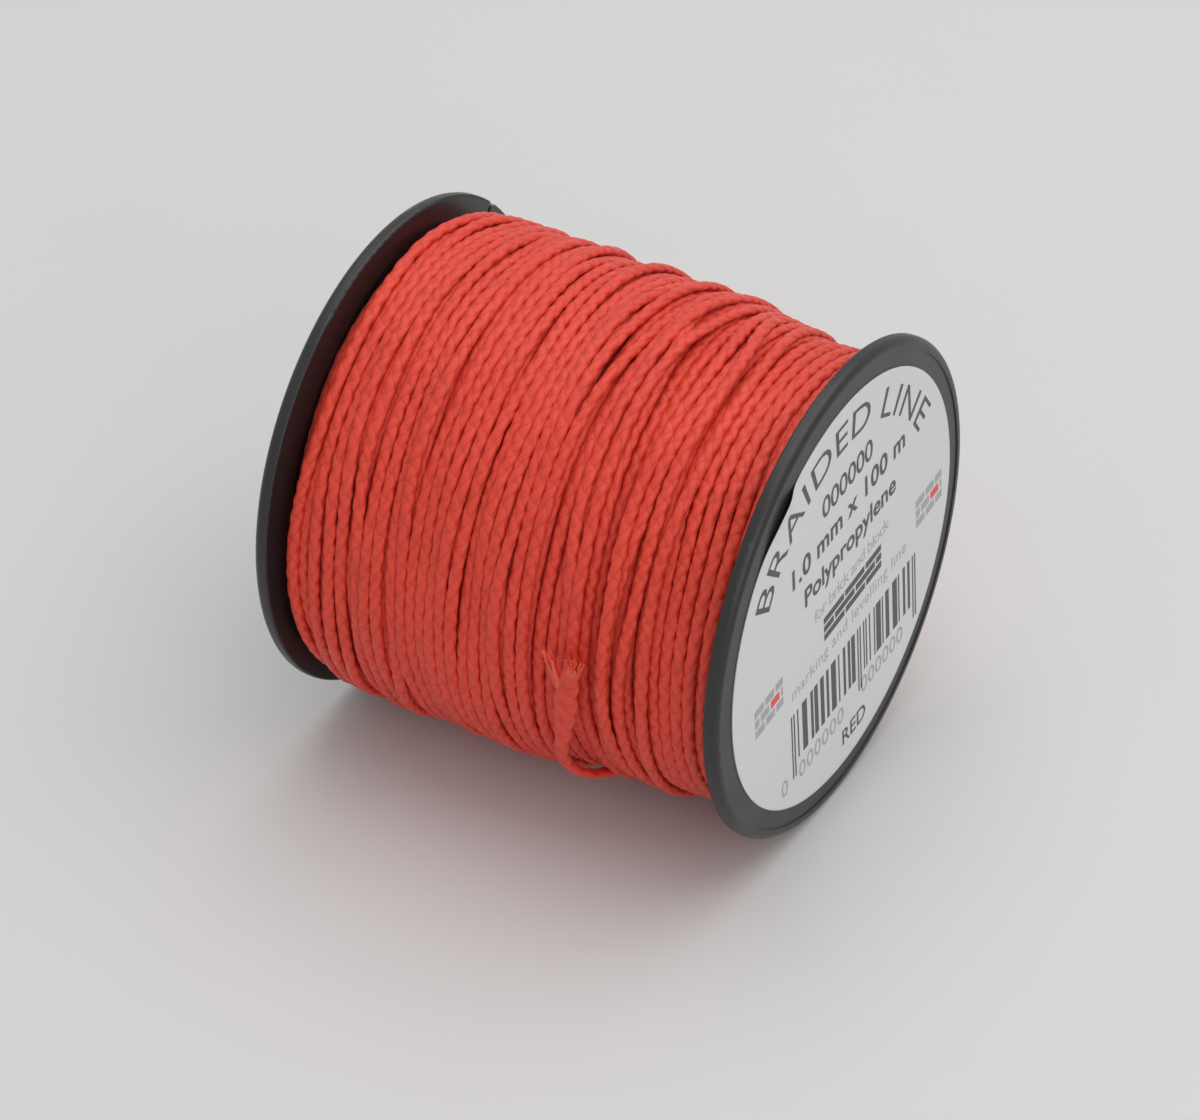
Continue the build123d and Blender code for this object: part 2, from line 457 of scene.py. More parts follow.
def ink_material(name, colour):
    """Printing ink, a little uneven in its cover."""
    material, tree, shader = new_material(name)
    cover = add_node(tree, "ShaderNodeTexNoise")
    cover.inputs["Scale"].default_value = 1800.0
    cover.inputs["Detail"].default_value = 2.0
    link(tree, object_point(tree), cover.inputs["Vector"])
    thin = tuple(min(1.0, channel * 1.5 + 0.02) for channel in colour[:3]) + (1.0,)
    link(tree, mix_colours(tree, cover.outputs["Fac"], tuple(colour), thin),
         shader.inputs["Base Color"])
    shader.inputs["Roughness"].default_value = 0.45
    return material


# ---------------------------------------------------------------------------
# Mesh helpers
# ---------------------------------------------------------------------------
def mesh_object(name, points, faces, material, uv=None):
    """Puts points and faces, as whole arrays, into a new smooth mesh object. faces is a list of index
    arrays, each with one row per face, and uv has one pair for each corner in the same order."""
    mesh = bpy.data.meshes.new(name)
    corners = np.concatenate([rows.ravel() for rows in faces]).astype(np.int32)
    sizes = np.concatenate([np.full(len(rows), rows.shape[1]) for rows in faces])
    starts = np.concatenate([[0], np.cumsum(sizes)[:-1]]).astype(np.int32)
    mesh.vertices.add(len(points))
    mesh.vertices.foreach_set("co", np.ascontiguousarray(points, dtype=np.float32).ravel())
    mesh.loops.add(len(corners))
    mesh.loops.foreach_set("vertex_index", corners)
    mesh.polygons.add(len(sizes))
    mesh.polygons.foreach_set("loop_start", starts)
    mesh.update(calc_edges=True)
    mesh.shade_smooth()
    if uv is not None:
        layer = mesh.uv_layers.new(name="Braid")
        layer.data.foreach_set("uv", np.ascontiguousarray(uv, dtype=np.float32).ravel())
    mesh.materials.append(material)
    piece = bpy.data.objects.new(name, mesh)
    bpy.context.scene.collection.objects.link(piece)
    return piece


def braid_height(along, around):
    """Height of the braid, 0 to 1: two families of round ridges, along plus and minus twice
    around, each raised where it passes over the other and lowered where it passes under."""
    families = (2 * around + along, 2 * around - along)
    ridges = []
    for own, other, parity in ((families[0], families[1], 0), (families[1], families[0], 1)):
        strand = np.round(own)
        over = np.cos(math.pi / 2 * (other + strand + parity)) ** 2
        ridge = np.maximum(np.cos(math.pi * (own - strand)), 0) ** 0.8
        ridges.append(ridge * (0.35 + 0.65 * over))
    return np.maximum(ridges[0], ridges[1])


def line_tube(centre, side, out, half_width, half_thickness, along, roll, sides, relief):
    """Points, faces and UV of a length of line. Each ring is an ellipse about its centre, half_width
    along side and half_thickness along out, grown by relief times the braid's height. Rings turn
    with roll, so that the same corner stays on the same row of lobes, and each end is closed."""
    rings = len(centre)
    around = np.arange(sides) / sides
    angle = 2 * math.pi * around[None, :] - roll[:, None]
    height = braid_height(along[:, None], np.broadcast_to(around, (rings, sides)))
    grown = 1 + relief * (height - 0.6)
    across = (half_width[:, None] * np.cos(angle) * grown)[:, :, None]
    upward = (half_thickness[:, None] * np.sin(angle) * grown)[:, :, None]
    points = centre[:, None, :] + across * side[:, None, :] + upward * out[:, None, :]
    points = np.concatenate([points.reshape(-1, 3), centre[:1], centre[-1:]])
    ring = np.arange(rings - 1)[:, None] * sides
    corner = np.arange(sides)[None, :]
    following = (corner + 1) % sides
    quads = np.stack([ring + corner, ring + sides + corner, ring + sides + following,
                      ring + following], axis=-1).reshape(-1, 4)
    last = (rings - 1) * sides
    turn = np.arange(sides)
    after = (turn + 1) % sides
    first_cap = np.stack([np.full(sides, rings * sides), turn, after], axis=-1)
    last_cap = np.stack([np.full(sides, rings * sides + 1), last + after, last + turn], axis=-1)
    u_low = np.broadcast_to(along[:-1, None], (rings - 1, sides))
    u_high = np.broadcast_to(along[1:, None], (rings - 1, sides))
    v_low = np.broadcast_to(around[None, :], (rings - 1, sides))
    v_high = v_low + 1 / sides
    quad_uv = np.stack([np.stack([u_low, v_low], -1), np.stack([u_high, v_low], -1),
                        np.stack([u_high, v_high], -1), np.stack([u_low, v_high], -1)], axis=2)
    first_uv = np.stack([np.full((sides, 3), along[0]), np.tile(around[:, None], (1, 3))], -1)
    last_uv = np.stack([np.full((sides, 3), along[-1]), np.tile(around[:, None], (1, 3))], -1)
    uv = np.concatenate([quad_uv.reshape(-1, 2), first_uv.reshape(-1, 2), last_uv.reshape(-1, 2)])
    return points, quads, np.concatenate([first_cap, last_cap]), uv


def join_tubes(tubes):
    """Several lengths of line as one set of points, faces and UV: quads first, then triangles."""
    points, quads, caps, quad_uv, cap_uv = [], [], [], [], []
    base = 0
    for tube_points, tube_quads, tube_caps, tube_uv in tubes:
        points.append(tube_points)
        quads.append(tube_quads + base)
        caps.append(tube_caps + base)
        quad_uv.append(tube_uv[:tube_quads.size])
        cap_uv.append(tube_uv[tube_quads.size:])
        base += len(tube_points)
    return (np.concatenate(points), [np.concatenate(quads), np.concatenate(caps)],
            np.concatenate(quad_uv + cap_uv))


def ride_and_slot(piece, slot, *nodes):
    """The piece belongs to the spool and stands for CAD nodes; slot is not used."""
    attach(piece, "root")
    if nodes:
        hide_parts(*nodes)


# ---------------------------------------------------------------------------
# The winding
# ---------------------------------------------------------------------------
def smooth_step(share):
    """Eased share: 0 below 0, 1 above 1, and three times its square less twice its cube between."""
    share = np.clip(share, 0, 1)
    return share * share * (3 - 2 * share)


def wander(turns, strays, seed):
    """Sum of sine waves of the turn count, each with its own stray and a seeded phase."""
    phases = np.random.default_rng(seed).random(len(strays))
    waves = [stray * np.sin(2 * math.pi * (rate * turns + phase))
             for (rate, stray), phase in zip(strays, phases)]
    return np.sum(waves, axis=0)


def smooth_on(values, spread, before):
    """Gaussian mean of the values of one turn, led in by the values just before it."""
    reach = int(3 * spread)
    weights = np.exp(-0.5 * (np.arange(-reach, reach + 1) / spread) ** 2)
    padded = np.concatenate([before[-reach:], values, np.full(reach, values[-1])])
    return np.convolve(padded, weights / weights.sum(), "valid")


def guide_path(settings, low, high):
    """Place of the winder's guide for each slice of each turn. It runs in a straight line from each
    stretch's start to its target, by one pitch a turn: full layers from end to end, then shorter
    and sparser ones, which leave the winding highest behind its middle."""
    end_x = TAIL_ROUTE[0][0]
    layers = [(high if layer % 2 == 0 else low, settings.pitch)
              for layer in range(settings.full_layers)]
    # targets along the axis and pitches of the last layers, up to where the free end starts
    layers += [
        (0.0180, 4.5 * settings.pitch), (0.0118, 1.5 * settings.pitch),
        (0.0040, 5.0 * settings.pitch), (low + 0.0018, 1.02 * settings.pitch),
        (-0.0090, 1.05 * settings.pitch), (0.0020, 0.94 * settings.pitch),
        (end_x, 1.15 * settings.pitch),
    ]
    stretches = []
    here = low
    for target, pitch in layers:
        turns = max(1, round(abs(target - here) / pitch))
        stretches.append(here + (target - here) * np.arange(turns * settings.slices)
                         / (turns * settings.slices))
        here = target
    return np.concatenate(stretches)


# How the winding builds up
OUTER_TURNS_SHARE = 0.80      # of the turns, where the straying of the outer layers starts
THICKER_TURNS_SHARE = 0.84    # of the turns, where the line stops being pressed flat
TURNS_LOOKED_UNDER = 130      # a turn rests on the ones wound this recently
LARGEST_SLIP = 0.0009         # sideways, in metres
SLIP_COST = 420.0             # height that a turn would rather climb than slip, per metre squared
OVERLAP = 0.94                # share of the line's width that bears on the turns under it
PRESSED = 0.9                 # share of the line's thickness left where two turns cross
FIRM_RADIUS = 0.020           # inside this the turns can't slip off centre
LOOSE_RADIUS = 0.026          # outside this they slip off centre fully
HELD_LENGTH = 0.0026          # along the axis, over which the free end holds its neighbours
FLOOR_CLEARANCE = 0.0001
TAIL_RISE_SHARE = 0.35        # of the last turn, over which it rises to the free end


def settle_turns(settings):
    """Winds the line on, turn by turn. In each slice round the spool a turn slips a little sideways to
    where it lies lowest on the turns before it, and its height there is the highest of the ellipses
    under it. It is then drawn smooth along its length, because the line is stiff and under tension,
    and the outer turns are shifted by the sag times the cosine of the angle from its direction.
    Returns X, radius and thickness for each turn and slice, with slice 0 where the tail starts."""
    slices = settings.slices
    low = WINDING_LOW[0] + settings.width / 2 - settings.rear_spread
    high = WINDING_HIGH[0] - settings.width / 2
    guide = guide_path(settings, low, high)
    count = len(guide) // slices
    turns = np.arange(len(guide)) / slices
    late = np.clip((turns / count - OUTER_TURNS_SHARE) / 0.08, 0, 1)
    strays = ((1.045, 1.0), (1.94, 0.8), (3.06, 0.45), (0.13, 0.3), (6.1, 0.15))
    stray = (0.0001 + (settings.wander - 0.0001) * late) * wander(turns, strays, settings.seed)
    settled = np.clip(1 - (turns - (count - 1.2)) / 1.0, 0, 1)
    guide = np.clip(guide + stray * settled, low, high).reshape(count, slices)
    step = np.linspace(-LARGEST_SLIP, LARGEST_SLIP, 19)
    thickness = settings.pressed_thickness + (
        settings.top_thickness - settings.pressed_thickness) * np.clip(
        (np.arange(count) / count - THICKER_TURNS_SHARE) / 0.06, 0, 1)
    places = np.zeros((count, slices))
    radii = np.zeros((count, slices))
    slip_before = np.zeros(slices)
    radius_before = np.full(slices, BARREL_RADIUS + thickness[0] / 2)
    lead = np.exp(-np.arange(slices) / 8.0)
    for turn in range(count):
        first = max(0, turn - TURNS_LOOKED_UNDER)
        under_x = places[first:turn, None, :]
        under_r = radii[first:turn, None, :]
        size = PRESSED * (thickness[first:turn, None, None] + thickness[turn]) / 2

        def rest_height(x):
            floor = np.full(x.shape, BARREL_RADIUS + thickness[turn] / 2)
            if turn == 0:
                return floor
            share = 1 - ((x[None] - under_x) / (OVERLAP * settings.width)) ** 2
            tops = np.where(share > 0, under_r + size * np.sqrt(np.maximum(share, 0)), 0)
            return np.maximum(floor, tops.max(axis=0))

        tries = np.clip(guide[turn][None] + step[:, None], low, high)
        cost = rest_height(tries) + SLIP_COST * step[:, None] ** 2
        slip = smooth_on(step[np.argmin(cost, axis=0)], 5, slip_before)
        place = np.clip(guide[turn] + slip, low, high)
        if turn:
            place = place + (places[turn - 1, -1] - place[0]) * lead
        resting = rest_height(place[None])[0]
        padded = np.concatenate([radius_before[-4:], resting, np.full(4, resting[-1])])
        bridged = np.lib.stride_tricks.sliding_window_view(padded, 9).max(axis=1)
        radius = smooth_on(0.4 * bridged + 0.6 * resting, 3.0, radius_before)
        radius = np.maximum(radius, resting - 0.00015)
        if turn:
            radius = radius + (radii[turn - 1, -1] - radius[0]) * lead ** 2
        places[turn] = place
        radii[turn] = radius
        slip_before = slip
        radius_before = radius
    # the loose outer turns have slipped off centre, except where the free end holds them, and
    # they stay clear of the floor
    start = math.atan2(TAIL_ROUTE[0][1], TAIL_ROUTE[0][2] - AXIS_HEIGHT)
    angle = start + 2 * math.pi * (np.arange(slices) + 0.5) / slices
    loose = np.clip((radii - FIRM_RADIUS) / (LOOSE_RADIUS - FIRM_RADIUS), 0, 1)
    loose = loose * (1 - np.exp(-((places - TAIL_ROUTE[0][0]) / HELD_LENGTH) ** 2))
    radii = radii + settings.sag * loose * np.cos(angle - settings.sag_angle)
    clear = AXIS_HEIGHT - FLOOR_CLEARANCE - thickness[:, None] / 2
    radii = np.minimum(radii, clear / np.maximum(-np.cos(angle), 0.5))
    # the end of the last turn rises and shifts to where the free end starts
    turned = (np.arange(slices) + 1) / slices
    share = smooth_step(1 - (1 - turned) / TAIL_RISE_SHARE)
    tail_radius = math.hypot(TAIL_ROUTE[0][1], TAIL_ROUTE[0][2] - AXIS_HEIGHT)
    places[-1] += (TAIL_ROUTE[0][0] - places[-1, -1]) * share
    radii[-1] += (tail_radius - radii[-1, -1]) * share
    return places, radii, thickness


def cover_of(places, radii, width):
    """For each turn, how much line lies over its barest stretch: the sum of the overlaps with later
    turns, taken where the turn is least covered."""
    count = len(places)
    least = np.zeros(count)
    for turn in range(count):
        later = slice(turn + 1, min(count, turn + 160))
        overlap = np.clip(1 - np.abs(places[later] - places[turn]) / width, 0, None)
        overlap = np.where(radii[later] > radii[turn], overlap, 0)
        least[turn] = np.percentile(overlap.sum(axis=0), 6) if turn < count - 1 else 0.0
    return least


def wound_stretch(settings, places, radii, thickness, first, last, rings, sides, relief):
    """Tube of the turns from first up to last. Its centre is at the settled place and radius, about
    the spool's axis, and the angle grows from the tail's start over the top towards +Y."""
    known = (np.arange(places.size) + 0.5) / settings.slices
    turn = np.linspace(first, last, (last - first) * rings + 1)
    x = np.interp(turn, known, places.ravel())
    radius = np.interp(turn, known, radii.ravel())
    start = math.atan2(TAIL_ROUTE[0][1], TAIL_ROUTE[0][2] - AXIS_HEIGHT)
    angle = start + 2 * math.pi * turn
    out = np.stack([np.zeros_like(angle), np.sin(angle), np.cos(angle)], axis=-1)
    centre = radius[:, None] * out + np.array([0, 0, AXIS_HEIGHT])
    centre[:, 0] = x
    side = np.tile(np.array([1.0, 0, 0]), (len(x), 1))
    mean_radius = radii.mean(axis=1)
    lengths = np.concatenate([[0], np.cumsum(2 * math.pi * mean_radius)])
    along = np.interp(turn, np.arange(len(lengths)), lengths) / settings.braid_pitch
    along = along + 0.2 * wander(turn, ((3.1, 1.0), (7.7, 0.8), (19.3, 0.7)), settings.seed + 3)
    swell = 1 + 0.05 * wander(turn, ((5.3, 0.6), (9.7, 0.5), (17.1, 0.4)), settings.seed + 1)
    half_thickness = np.interp(turn, np.arange(len(thickness)), thickness) / 2 * swell
    half_width = settings.width / 2 / swell
    # an eighth of a turn puts the seam between two rows of lobes outwards
    strays = ((0.37, 1.0), (2.3, 0.9), (7.1, 0.6), (17.3, 0.4))
    roll = -math.pi / 4 + 0.6 * wander(turn, strays, settings.seed + 2)
    return line_tube(centre, side, out, half_width, half_thickness, along, roll, sides, relief)


def turn_groups(cover):
    """Runs of neighbouring turns that need the same fineness: 0 for turns in sight, then finer to
    coarser steps for what shows only through gaps, and the last for what is hidden."""
    fineness = np.digitize(cover, (0.45, 1.25, 2.4))
    runs = []
    first = 0
    for turn in range(1, len(fineness) + 1):
        if turn == len(fineness) or fineness[turn] != fineness[first]:
            runs.append((int(fineness[first]), first, turn))
            first = turn
    return runs


class SPOOL_OT_wind_line(Operator):
    """Wind the whole line onto the barrel and mesh it, finest where it is in sight"""
    bl_idname = "line_spool.wind_line"
    bl_label = "Wind Line"

    def execute(self, context):
        settings = context.scene.spool_line
        material = braided_line_material(settings)
        places, radii, thickness = settle_turns(settings)
        length = float((2 * math.pi * radii.mean(axis=1)).sum())
        print("wound length, m:", round(length, 2), "turns:", len(places))
        cover = cover_of(places, radii, settings.width)
        # rings per turn, corners per ring and share of the braid relief for each fineness
        meshing = ((680, 14, 1.0), (340, 10, 0.6), (150, 8, 0.0), (32, 4, 0.0))
        most_triangles = 190000  # in one piece
        names = ("outer", "second", "third", "inner")
        batches = {name: [[]] for name in names}
        room = {name: most_triangles for name in names}
        for fineness, first, last in turn_groups(cover):
            rings, sides, relief = meshing[fineness]
            name = names[fineness]
            per_turn = 2 * rings * sides
            while first < last:
                fitting = min(last - first, room[name] // per_turn)
                if fitting == 0:
                    batches[name].append([])
                    room[name] = most_triangles
                    continue
                batches[name][-1].append(wound_stretch(
                    settings, places, radii, thickness, first, first + fitting, rings, sides,
                    relief * settings.braid_relief))
                room[name] -= fitting * per_turn + 2 * sides
                first += fitting
        for name in names:
            for number, tubes in enumerate((batch for batch in batches[name] if batch), start=1):
                points, faces, uv = join_tubes(tubes)
                piece = mesh_object(f"wound_line_{name}_{number}", points, faces, material, uv)
                ride_and_slot(piece, "line", "line_winding")
                print(piece.name, "triangles:", 2 * len(faces[0]) + len(faces[1]))
        return {"FINISHED"}


# ---------------------------------------------------------------------------
# The free end
# ---------------------------------------------------------------------------
def spline_points(route):
    """Points along the smooth NURBS line that has the route as its control points."""
    curve = bpy.data.curves.new("tail_line", "CURVE")
    curve.dimensions = "3D"
    curve.resolution_u = 24
    spline = curve.splines.new("NURBS")
    spline.points.add(len(route) - 1)
    spline.points.foreach_set("co", np.column_stack([route, np.ones(len(route))]).ravel())
    spline.order_u = 3
    spline.use_endpoint_u = True
    holder = bpy.data.objects.new("tail_line", curve)
    bpy.context.scene.collection.objects.link(holder)
    bpy.context.view_layer.update()
    drawn = bpy.data.meshes.new_from_object(holder)
    points = np.zeros(len(drawn.vertices) * 3)
    drawn.vertices.foreach_get("co", points)
    bpy.data.objects.remove(holder)
    bpy.data.curves.remove(curve)
    bpy.data.meshes.remove(drawn)
    return points.reshape(-1, 3)


def even_points(points, spacing):
    """The same line with its points evenly spaced, and the distance of each from the start."""
    steps = np.linalg.norm(np.diff(points, axis=0), axis=1)
    reached = np.concatenate([[0], np.cumsum(steps)])
    count = int(round(reached[-1] / spacing)) + 1
    distance = np.linspace(0, reached[-1], count)
    even = np.stack([np.interp(distance, reached, points[:, axis]) for axis in range(3)], axis=-1)
    return even, distance


def tail_frames(points):
    """Direction, outward and sideways unit vectors along the tail. Outward is away from the spool's
    axis, less its share along the line, and sideways is at right angles to both."""
    ahead = np.gradient(points, axis=0)
    ahead /= np.linalg.norm(ahead, axis=1)[:, None]
    out = points - np.array([0, 0, AXIS_HEIGHT])
    out[:, 0] = 0
    out -= (out * ahead).sum(axis=1)[:, None] * ahead
    out /= np.linalg.norm(out, axis=1)[:, None]
    return ahead, out, np.cross(ahead, out)


def fibre_bundle(start, ahead, out, lean, length, half_width, half_thickness, curl, rings, sides):
    """Tapering bundle of fibres. It leaves start along ahead and lean, curls away by the square of the
    distance, and its size falls to a third at the tip."""
    share = np.linspace(0, 1, rings)
    direction = ahead + lean
    direction = direction / np.linalg.norm(direction)
    centre = start + length * (share[:, None] * direction + (share ** 2)[:, None] * curl)
    heading = np.gradient(centre, axis=0)
    heading /= np.linalg.norm(heading, axis=1)[:, None]
    across = np.cross(heading, out)
    across /= np.linalg.norm(across, axis=1)[:, None]
    upward = np.cross(across, heading)
    taper = 1 - 0.65 * share ** 1.5
    flat = np.zeros(rings)
    return line_tube(centre, across, upward, half_width * taper, half_thickness * taper,
                     40 * share, flat, sides, 0.0)


class SPOOL_OT_add_tail(Operator):
    """Add the free end of the line, with its opened braid and cut fibres"""
    bl_idname = "line_spool.add_tail"
    bl_label = "Add Tail"

    def execute(self, context):
        settings = context.scene.spool_line
        points, distance = even_points(spline_points(TAIL_ROUTE), 0.00022)
        ahead, out, side = tail_frames(points)
        left = distance[-1] - distance
        share = distance / distance[-1]
        # side may point away from the label end, so its sign is taken out
        towards_front = side * np.sign(side[:, :1])
        opened = smooth_step((0.0135 - left) / 0.0085)
        parted = smooth_step(1 - left / 0.0024)
        half_width = settings.width / 2 * (1.13 + 0.86 * opened - 0.50 * parted)
        half_thickness = settings.top_thickness / 2 * (1.08 - 0.16 * opened)
        along = distance / (1.10 * settings.braid_pitch)
        roll = 0.6 * np.sin(5 * share) * (1 - opened)
        centre = points + 0.00036 * parted[:, None] * towards_front
        tube = line_tube(centre, side, out, half_width, half_thickness, along, roll, 24,
                         0.7 * settings.braid_relief)
        tail_points, faces, uv = join_tubes([tube])
        material = bpy.data.materials.get("Red braided polypropylene") or braided_line_material(settings)
        tail = mesh_object("line_tail_braid", tail_points, faces, material, uv)
        ride_and_slot(tail, "line", "line_tail")

        chance = np.random.default_rng(settings.seed + 11)
        bundles = []
        # a flat prong splits off on one side, and the rest ends in a blunt frayed cut. Each row gives
        # the distance before the tip, sideways offset and spread, lean, length, count and size.
        prongs = (
            (0.0036, -0.00088, 0.00016, -0.36, 0.0045, 3, 0.00052),
            (0.0030, -0.00092, 0.00050, -0.34, 0.0044, 14, 0.00012),
            (0.0009, 0.00040, 0.00105, 0.06, 0.0013, 4, 0.00046),
            (0.0007, 0.00038, 0.00170, 0.05, 0.0020, 44, 0.00012),
        )
        for before, offset, width, lean, length, count, size in prongs:
            root = int(np.argmin(np.abs(left - before)))
            forward, outward, sideways = ahead[root], out[root], towards_front[root]
            for strand in range(count):
                spread = (strand + chance.uniform(0.0, 1.0)) / count - 0.5
                own_size = size * chance.uniform(0.75, 1.15)
                bundles.append(fibre_bundle(
                    points[root] + sideways * (offset + width * spread)
                    + outward * chance.uniform(-0.00022, 0.00028),
                    forward, outward,
                    sideways * (lean + 0.30 * spread) + outward * chance.uniform(-0.05, 0.18),
                    length * chance.uniform(0.7, 1.1), own_size, 0.6 * own_size,
                    sideways * chance.uniform(-0.10, 0.08) + outward * chance.uniform(0, 0.12),
                    14, 10))
        fray_points, fray_faces, fray_uv = join_tubes(bundles)
        fray = mesh_object("line_tail_cut_fibres", fray_points, fray_faces,
                           cut_fibre_material(settings), fray_uv)
        ride_and_slot(fray, "line")
        return {"FINISHED"}


# ---------------------------------------------------------------------------
# The label
# ---------------------------------------------------------------------------
def label_lift(settings, across, up):
    """How far a point of the label stands off the flange. The lift grows with the square of the
    distance past most of the radius, over a short arc that starts steeply and fades slowly."""
    radius = np.hypot(across, up)
    angle = np.angle(np.exp(1j * (np.arctan2(up, across) - settings.lift_angle)))
    steep = 1 / (1 + np.exp(-(angle + math.radians(7.5)) / math.radians(1.0)))
    faded = 1 / (1 + np.exp((angle - math.radians(5.0)) / math.radians(3.0)))
    inner = 0.87 * LABEL_RADIUS
    rise = np.clip((radius - inner) / (LABEL_RADIUS - inner), 0, None) ** 2
    return settings.lift * steep * faded * rise


def label_disc(settings):
    """Round film with a rolled edge: a profile of rings from the middle over the edge to the back,
    turned about the axis, and moved outwards by the lift."""
    segments = 300
    thick = LABEL_HIGH[0] - LABEL_LOW[0]
    edge = LABEL_RADIUS + settings.spare
    inner = np.linspace(0, 0.8, 16)[1:] * edge
    outer = np.linspace(0.8, 1.0, 26)[1:] * edge - 0.15 * thick
    front = np.concatenate([inner, outer])
    radii = np.concatenate([front, [edge, edge], front[::-1]])
    heights = np.concatenate([np.full(len(front), thick), [0.8 * thick, 0.2 * thick],
                              np.zeros(len(front))])
    angle = 2 * math.pi * np.arange(segments) / segments
    across = radii[:, None] * np.cos(angle)
    up = radii[:, None] * np.sin(angle)
    lift = label_lift(settings, across, up)
    shift = settings.offset
    rings = np.stack([LABEL_LOW[0] + heights[:, None] + lift, across + shift,
                      up + AXIS_HEIGHT], axis=-1)
    middles = np.array([[LABEL_LOW[0] + thick, shift, AXIS_HEIGHT],
                        [LABEL_LOW[0], shift, AXIS_HEIGHT]])
    points = np.concatenate([rings.reshape(-1, 3), middles])
    count = len(radii)
    ring = np.arange(count - 1)[:, None] * segments
    corner = np.arange(segments)[None, :]
    after = (corner + 1) % segments
    quads = np.stack([ring + corner, ring + segments + corner, ring + segments + after,
                      ring + after], axis=-1).reshape(-1, 4)
    turn = np.arange(segments)
    following = (turn + 1) % segments
    last = (count - 1) * segments
    front_fan = np.stack([np.full(segments, count * segments), turn, following], axis=-1)
    back_fan = np.stack([np.full(segments, count * segments + 1), last + following, last + turn],
                        axis=-1)
    return points, [quads, np.concatenate([front_fan, back_fan])]


def text_shape(words, height, width, boldness=0.0, letter_width=1.0):
    """Corner points and faces of words set in the built-in type, with the middle of their capitals at
    the origin, capitals as tall as height, letters widened by letter_width, and the spaces between
    them set so that the whole line is as wide as width."""
    curve = bpy.data.curves.new("print", "FONT")
    curve.body = words
    curve.size = height / 0.682
    curve.align_x = "CENTER"
    curve.offset = boldness
    curve.extrude = 0.000004
    curve.resolution_u = 4
    holder = bpy.data.objects.new("print", curve)
    bpy.context.scene.collection.objects.link(holder)
    bpy.context.view_layer.update()
    natural = holder.dimensions[0]
    curve.space_character = max(0.85, width / letter_width / natural)
    bpy.context.view_layer.update()
    mesh = bpy.data.meshes.new_from_object(holder)
    mesh.calc_loop_triangles()
    points = np.zeros(len(mesh.vertices) * 3)
    mesh.vertices.foreach_get("co", points)
    faces = np.zeros(len(mesh.loop_triangles) * 3, dtype=np.int32)
    mesh.loop_triangles.foreach_get("vertices", faces)
    bpy.data.objects.remove(holder)
    bpy.data.curves.remove(curve)
    bpy.data.meshes.remove(mesh)
    points = points.reshape(-1, 3)
    left, right = points[:, 0].min(), points[:, 0].max()
    points[:, 0] = (points[:, 0] - (left + right) / 2) * width / (right - left)
    points[:, 1] -= height / 2
    return points, faces.reshape(-1, 3)


def bars_shape(bars):
    """Thin upright boxes from rows of left, right, low and high."""
    bars = np.asarray(bars, dtype=float)
    columns = np.array([0, 1, 1, 0, 0, 1, 1, 0])
    rows = np.array([2, 2, 3, 3, 2, 2, 3, 3])
    depth = np.array([-1, -1, -1, -1, 1, 1, 1, 1]) * 0.000004
    points = np.stack([bars[:, columns], bars[:, rows],
                       np.broadcast_to(depth, (len(bars), 8))], axis=-1).reshape(-1, 3)
    box = np.array([[0, 3, 2, 1], [4, 5, 6, 7], [0, 1, 5, 4], [1, 2, 6, 5], [2, 3, 7, 6], [3, 0, 4, 7]])
    quads = (np.arange(len(bars))[:, None, None] * 8 + box).reshape(-1, 4)
    return points, np.concatenate([quads[:, [0, 1, 2]], quads[:, [0, 2, 3]]])


def placed(shape, across, up):
    """The shape moved on the label."""
    points, faces = shape
    return points + np.array([across, up, 0.0]), faces


def bent(shape, radius, middle):
    """The shape bent round the label's centre: across becomes an angle and up adds to the radius."""
    points, faces = shape
    angle = middle - points[:, 0] / radius
    reach = radius + points[:, 1]
    return np.column_stack([reach * np.cos(angle), reach * np.sin(angle), points[:, 2]]), faces


def stripe_pattern(width, low, high, guard_low, seed):
    """Plain stripes of seeded widths that encode nothing. Thin longer pairs stand at both ends and in
    the middle."""
    chance = np.random.default_rng(seed)
    stripes = chance.integers(1, 5, 28)
    gaps = chance.integers(1, 4, 28)
    guards = np.isin(np.arange(28), (0, 1, 13, 14, 26, 27))
    stripes[guards] = 1
    gaps[[0, 13, 26]] = 1
    gaps[[1, 12, 14, 25]] = 2
    edges = np.concatenate([[0], np.cumsum(np.column_stack([stripes, gaps]).ravel())])
    edges = edges / edges[-2] * width - width / 2
    return np.column_stack([edges[0:-1:2], edges[1::2], np.where(guards, guard_low, low),
                            np.full(28, high)])


def brick_panel(width, height, joint):
    """Solid bricks of three courses in running bond, as bars: left, right, low and high."""
    course = (height + joint) / 3
    bars = []
    for level, edges in enumerate(((0.0, 0.36, 0.72, 1.0), (0.0, 0.18, 0.54, 0.90, 1.0),
                                   (0.0, 0.36, 0.72, 1.0))):
        low = level * course - height / 2
        bars += [(width * (left - 0.5) + (joint / 2 if left > 0 else 0),
                  width * (right - 0.5) - (joint / 2 if right < 1 else 0), low, low + course - joint)
                 for left, right in zip(edges[:-1], edges[1:])]
    return bars


def print_on_label(name, shapes, material, settings):
    """Joins printed shapes, turns them with the label and lays them a hair above its film."""
    base = 0
    points, faces = [], []
    for shape_points, shape_faces in shapes:
        points.append(shape_points)
        faces.append(shape_faces + base)
        base += len(shape_points)
    points = np.concatenate(points)
    turned = points @ np.array(Matrix.Rotation(settings.turn, 3, "Z")).T
    lift = label_lift(settings, turned[:, 0], turned[:, 1])
    height = LABEL_HIGH[0] + 0.000008 + turned[:, 2] + lift
    on_label = np.column_stack([height, turned[:, 0] + settings.offset, turned[:, 1] + AXIS_HEIGHT])
    piece = mesh_object(name, on_label, [np.concatenate(faces)], material)
    piece.data.shade_flat()
    ride_and_slot(piece, "label")
    return piece


